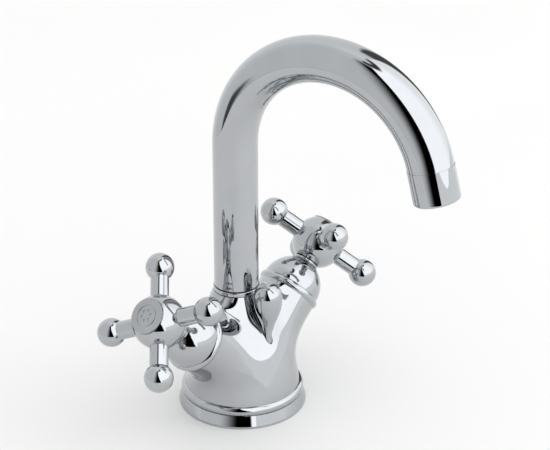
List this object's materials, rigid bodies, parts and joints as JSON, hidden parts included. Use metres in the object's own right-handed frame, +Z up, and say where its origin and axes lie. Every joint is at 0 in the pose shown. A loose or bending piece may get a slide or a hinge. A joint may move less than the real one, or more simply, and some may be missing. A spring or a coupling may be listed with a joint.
{
  "type": "basin mixer tap",
  "caption": "Deck-mounted two-handle basin mixer: forked bell-footed body, hooped swivel spout, ball-ended cross handles on leaning branches and a pull-up waste knob.",
  "frame": {"origin": "centre of the base's underside, on the deck", "axes": "+Z up from the deck; -Y towards the basin, the side that the spout faces; the hot handle at -X and the cold handle at +X"},
  "size_m": [0.1554, 0.1464, 0.2034],
  "materials": {
    "chrome": "polished chrome plate",
    "satin_chrome": "satin chrome plate",
    "brass": "machined brass",
    "ceramic": "lapped alumina",
    "rubber": "moulded nitrile rubber",
    "black_plastic": "moulded black acetal",
    "white_plastic": "moulded white acetal",
    "steel": "stainless steel"
  },
  "bodies": {
    "mixer": {"mixer_body": "chrome", "base_ring": "chrome", "base_seal": "rubber", "spout_collar": "chrome", "glide_ring": "black_plastic", "spout_stop_screw": "steel", "rod_bush": "black_plastic", "hot_seat_seal": "rubber", "hot_fixed_disc": "ceramic", "hot_valve_housing": "brass", "hot_housing_seal": "rubber", "hot_trim_ring": "chrome", "hot_bonnet": "chrome", "hot_neck_ring": "chrome", "cold_seat_seal": "rubber", "cold_fixed_disc": "ceramic", "cold_valve_housing": "brass", "cold_housing_seal": "rubber", "cold_trim_ring": "chrome", "cold_bonnet": "chrome", "cold_neck_ring": "chrome"},
    "spout": {"spout_tube": "chrome", "spout_spigot": "brass", "spigot_seals": "rubber", "aerator_sleeve": "chrome", "aerator_washer": "rubber", "aerator_insert": "white_plastic"},
    "hot_handle": {"hot_turning_disc": "ceramic", "hot_spindle": "brass", "hot_spindle_seals": "rubber", "hot_circlip": "steel", "hot_handle_hub": "chrome", "hot_handle_arms": "chrome", "hot_spline_adapter": "white_plastic", "hot_handle_screw": "steel", "hot_index_cap": "satin_chrome"},
    "cold_handle": {"cold_turning_disc": "ceramic", "cold_spindle": "brass", "cold_spindle_seals": "rubber", "cold_circlip": "steel", "cold_handle_hub": "chrome", "cold_handle_arms": "chrome", "cold_spline_adapter": "white_plastic", "cold_handle_screw": "steel", "cold_index_cap": "satin_chrome"},
    "lift": {"lift_rod": "chrome", "lift_knob": "chrome"}
  },
  "joints": [
    {"name": "spout_swivel", "type": "hinge", "parent": "mixer", "child": "spout", "pos_m": [0, 0.0036, 0.064], "axis": [0, 0, 1], "range_deg": [-70.4, 49.6]},
    {"name": "hot_handle_turn", "type": "hinge", "parent": "mixer", "child": "hot_handle", "pos_m": [-0.05659, 0, 0.06584], "axis": [-0.7744, 0, 0.6327], "range_deg": [0, 90]},
    {"name": "cold_handle_turn", "type": "hinge", "parent": "mixer", "child": "cold_handle", "pos_m": [0.05659, 0, 0.06584], "axis": [-0.7744, 0, -0.6327], "range_deg": [0, 90]},
    {"name": "waste_knob_lift", "type": "slide", "parent": "mixer", "child": "lift", "axis": [0, 0, 1], "range_m": [0, 0.025]}
  ]
}
